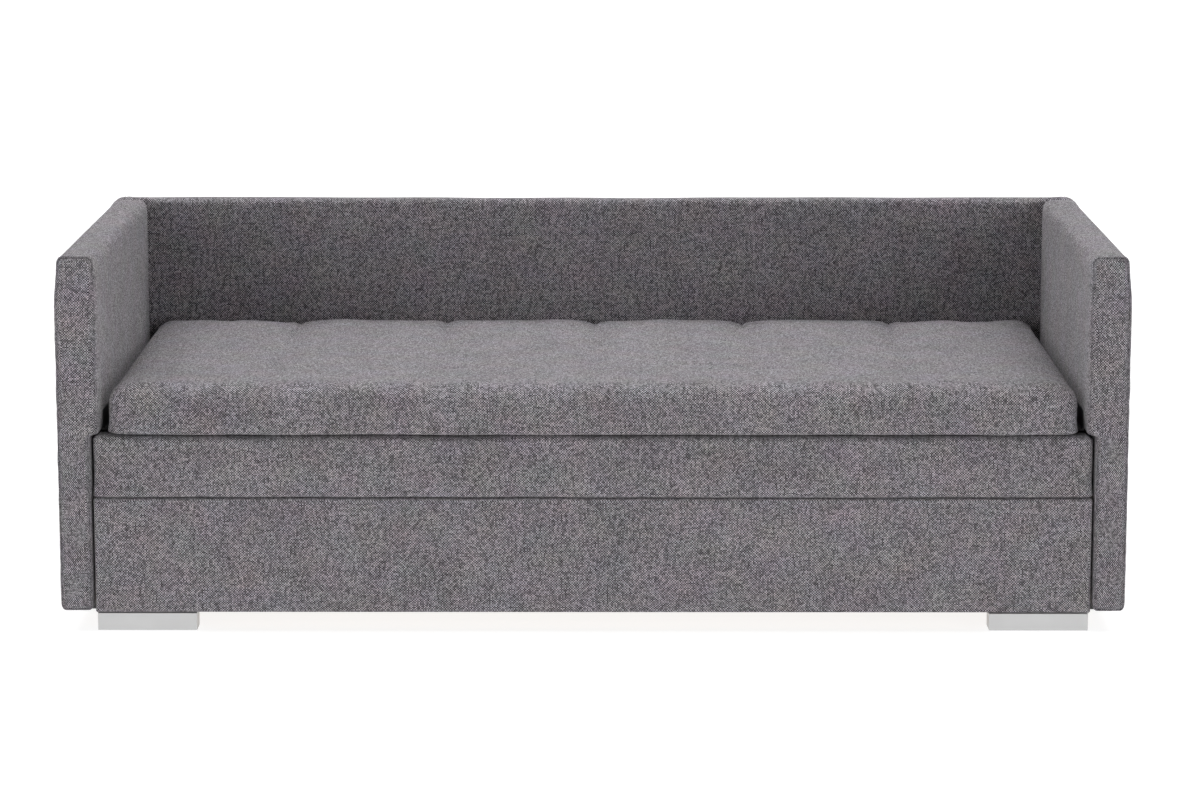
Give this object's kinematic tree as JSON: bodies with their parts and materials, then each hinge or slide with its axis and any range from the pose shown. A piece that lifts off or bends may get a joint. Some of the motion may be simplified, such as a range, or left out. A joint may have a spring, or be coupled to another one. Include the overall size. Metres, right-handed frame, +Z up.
{
  "type": "trundle bed",
  "caption": "Upholstered daybed with padded arms and back, and a second mattress on a rolling slatted trundle that pulls out from under the seat.",
  "frame": {"origin": "on the floor, under the middle of the bed's footprint", "axes": "+X along the bed's length, to the right of someone facing its front; +Y from the front to the back; +Z up"},
  "size_m": [2.2, 1, 0.785],
  "materials": {
    "grey_weave": "coarse plain weave of light grey and charcoal yarns, with slubs",
    "core_board": "raw particle board",
    "pine": "planed softwood, unfinished",
    "plywood": "thin birch plywood",
    "black_steel": "black powder coat",
    "silver_paint": "matt silver powder coat",
    "zinc_plate": "bright zinc plate",
    "black_plastic": "moulded, finely grained",
    "wheel_plastic": "moulded nylon",
    "black_rubber": "matt"
  },
  "bodies": {
    "daybed": {"back_cover": "grey_weave", "back_core": "core_board", "back_centre_foot": "black_plastic", "left_arm_cover": "grey_weave", "left_arm_core": "core_board", "left_arm_front_foot": "black_plastic", "left_arm_rear_foot": "black_plastic", "right_arm_cover": "grey_weave", "right_arm_core": "core_board", "right_arm_front_foot": "black_plastic", "right_arm_rear_foot": "black_plastic", "left_corner_bracket": "black_steel", "left_arm_bolt": "zinc_plate", "left_back_bolt": "zinc_plate", "right_corner_bracket": "black_steel", "right_arm_bolt": "zinc_plate", "right_back_bolt": "zinc_plate", "left_support_angle": "black_steel", "right_support_angle": "black_steel", "rear_support_angle": "black_steel", "platform_front_rail": "pine", "platform_rear_rail": "pine", "platform_left_rail": "pine", "platform_right_rail": "pine", "platform_centre_rail": "pine", "platform_deck": "plywood", "upper_mattress": "grey_weave"},
    "trundle": {"front_panel_cover": "grey_weave", "front_panel_board": "core_board", "trundle_front_rail": "core_board", "trundle_back_board": "core_board", "trundle_left_side": "core_board", "trundle_right_side": "core_board", "trundle_left_runner": "pine", "trundle_right_runner": "pine", "trundle_left_buffer": "black_rubber", "trundle_right_buffer": "black_rubber", "trundle_slat_1": "pine", "trundle_slat_2": "pine", "trundle_slat_3": "pine", "trundle_slat_4": "pine", "trundle_slat_5": "pine", "trundle_slat_6": "pine", "trundle_slat_7": "pine", "trundle_slat_8": "pine", "trundle_slat_9": "pine", "trundle_slat_10": "pine", "trundle_mattress": "grey_weave", "left_front_foot": "silver_paint", "right_front_foot": "silver_paint", "left_front_axle": "zinc_plate", "right_front_axle": "zinc_plate", "left_rear_fork": "zinc_plate", "right_rear_fork": "zinc_plate", "left_rear_axle": "zinc_plate", "right_rear_axle": "zinc_plate"},
    "left_front_roller": {"left_front_wheel": "wheel_plastic"},
    "right_front_roller": {"right_front_wheel": "wheel_plastic"},
    "left_rear_castor": {"left_rear_wheel": "wheel_plastic"},
    "right_rear_castor": {"right_rear_wheel": "wheel_plastic"}
  },
  "joints": [
    {"name": "trundle_slide", "type": "slide", "parent": "daybed", "child": "trundle", "axis": [0, -1, 0], "range_m": [0, 0.87]},
    {"name": "left_front_wheel_spin", "type": "hinge", "parent": "trundle", "child": "left_front_roller", "pos_m": [-0.922, -0.472, 0.015], "axis": [1, 0, 0], "range_deg": [0, 3324]},
    {"name": "right_front_wheel_spin", "type": "hinge", "parent": "trundle", "child": "right_front_roller", "pos_m": [0.922, -0.472, 0.015], "axis": [1, 0, 0], "range_deg": [0, 3324]},
    {"name": "left_rear_wheel_spin", "type": "hinge", "parent": "trundle", "child": "left_rear_castor", "pos_m": [-0.9667, 0.31, 0.025], "axis": [1, 0, 0], "range_deg": [0, 1994]},
    {"name": "right_rear_wheel_spin", "type": "hinge", "parent": "trundle", "child": "right_rear_castor", "pos_m": [0.9667, 0.31, 0.025], "axis": [1, 0, 0], "range_deg": [0, 1994]}
  ],
  "couplings": [
    {"joint": "left_front_wheel_spin", "follows": "trundle_slide", "rad_per_m": 66.667},
    {"joint": "right_front_wheel_spin", "follows": "trundle_slide", "rad_per_m": 66.667},
    {"joint": "left_rear_wheel_spin", "follows": "trundle_slide", "rad_per_m": 40},
    {"joint": "right_rear_wheel_spin", "follows": "trundle_slide", "rad_per_m": 40}
  ]
}
